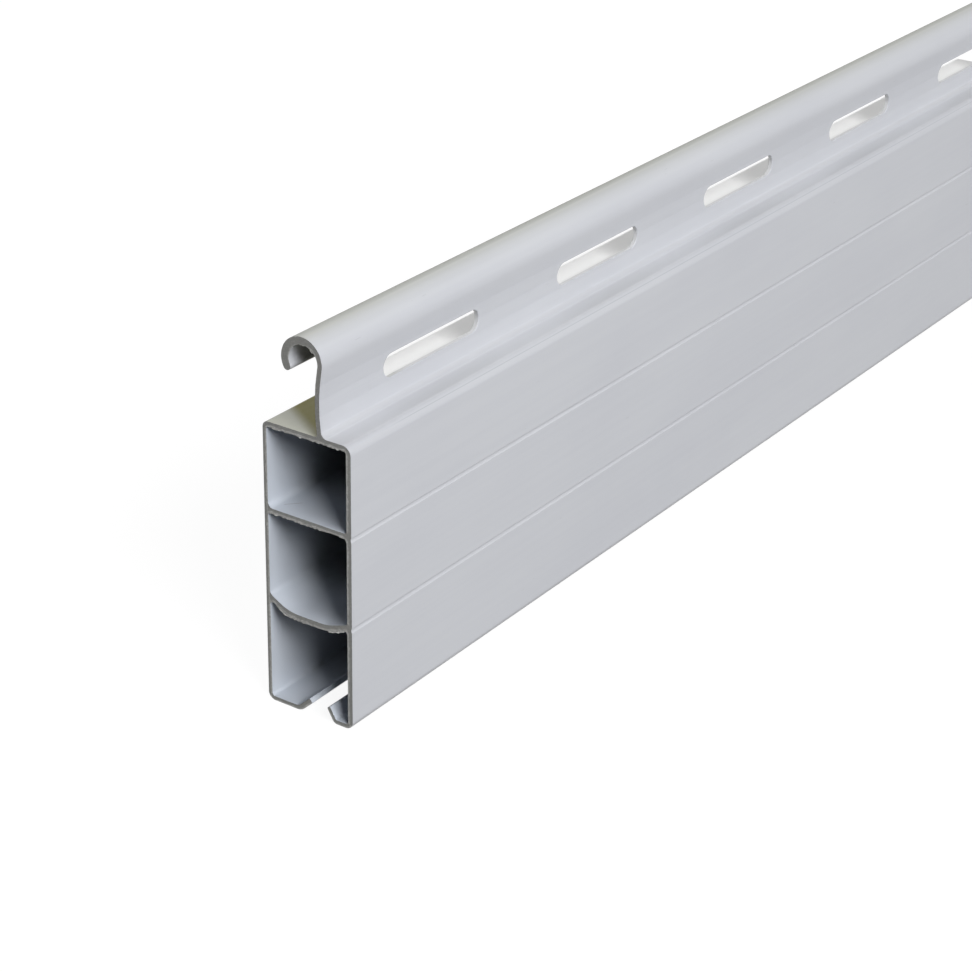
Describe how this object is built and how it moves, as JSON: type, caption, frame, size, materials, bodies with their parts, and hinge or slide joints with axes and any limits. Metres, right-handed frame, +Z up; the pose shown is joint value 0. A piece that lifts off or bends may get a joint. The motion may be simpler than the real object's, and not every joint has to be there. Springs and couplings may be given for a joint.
{
  "type": "roller shutter slat",
  "caption": "Cut length of ventilated roller shutter slat: hollow ribbed profile with a slotted neck, a curled top hook and an open hook channel below.",
  "frame": {"origin": "centre of the footprint, on the underside of the two bottom lips", "axes": "+X along the slat, with the end the picture shows at -X; +Y towards the room side, where the hook curls to, so the outer face looks along -Y; +Z up from the lips to the hook"},
  "size_m": [0.2, 0.014, 0.0535],
  "materials": {
    "pvc": "satin"
  },
  "bodies": {
    "root": {"slat": "pvc"}
  },
  "joints": []
}
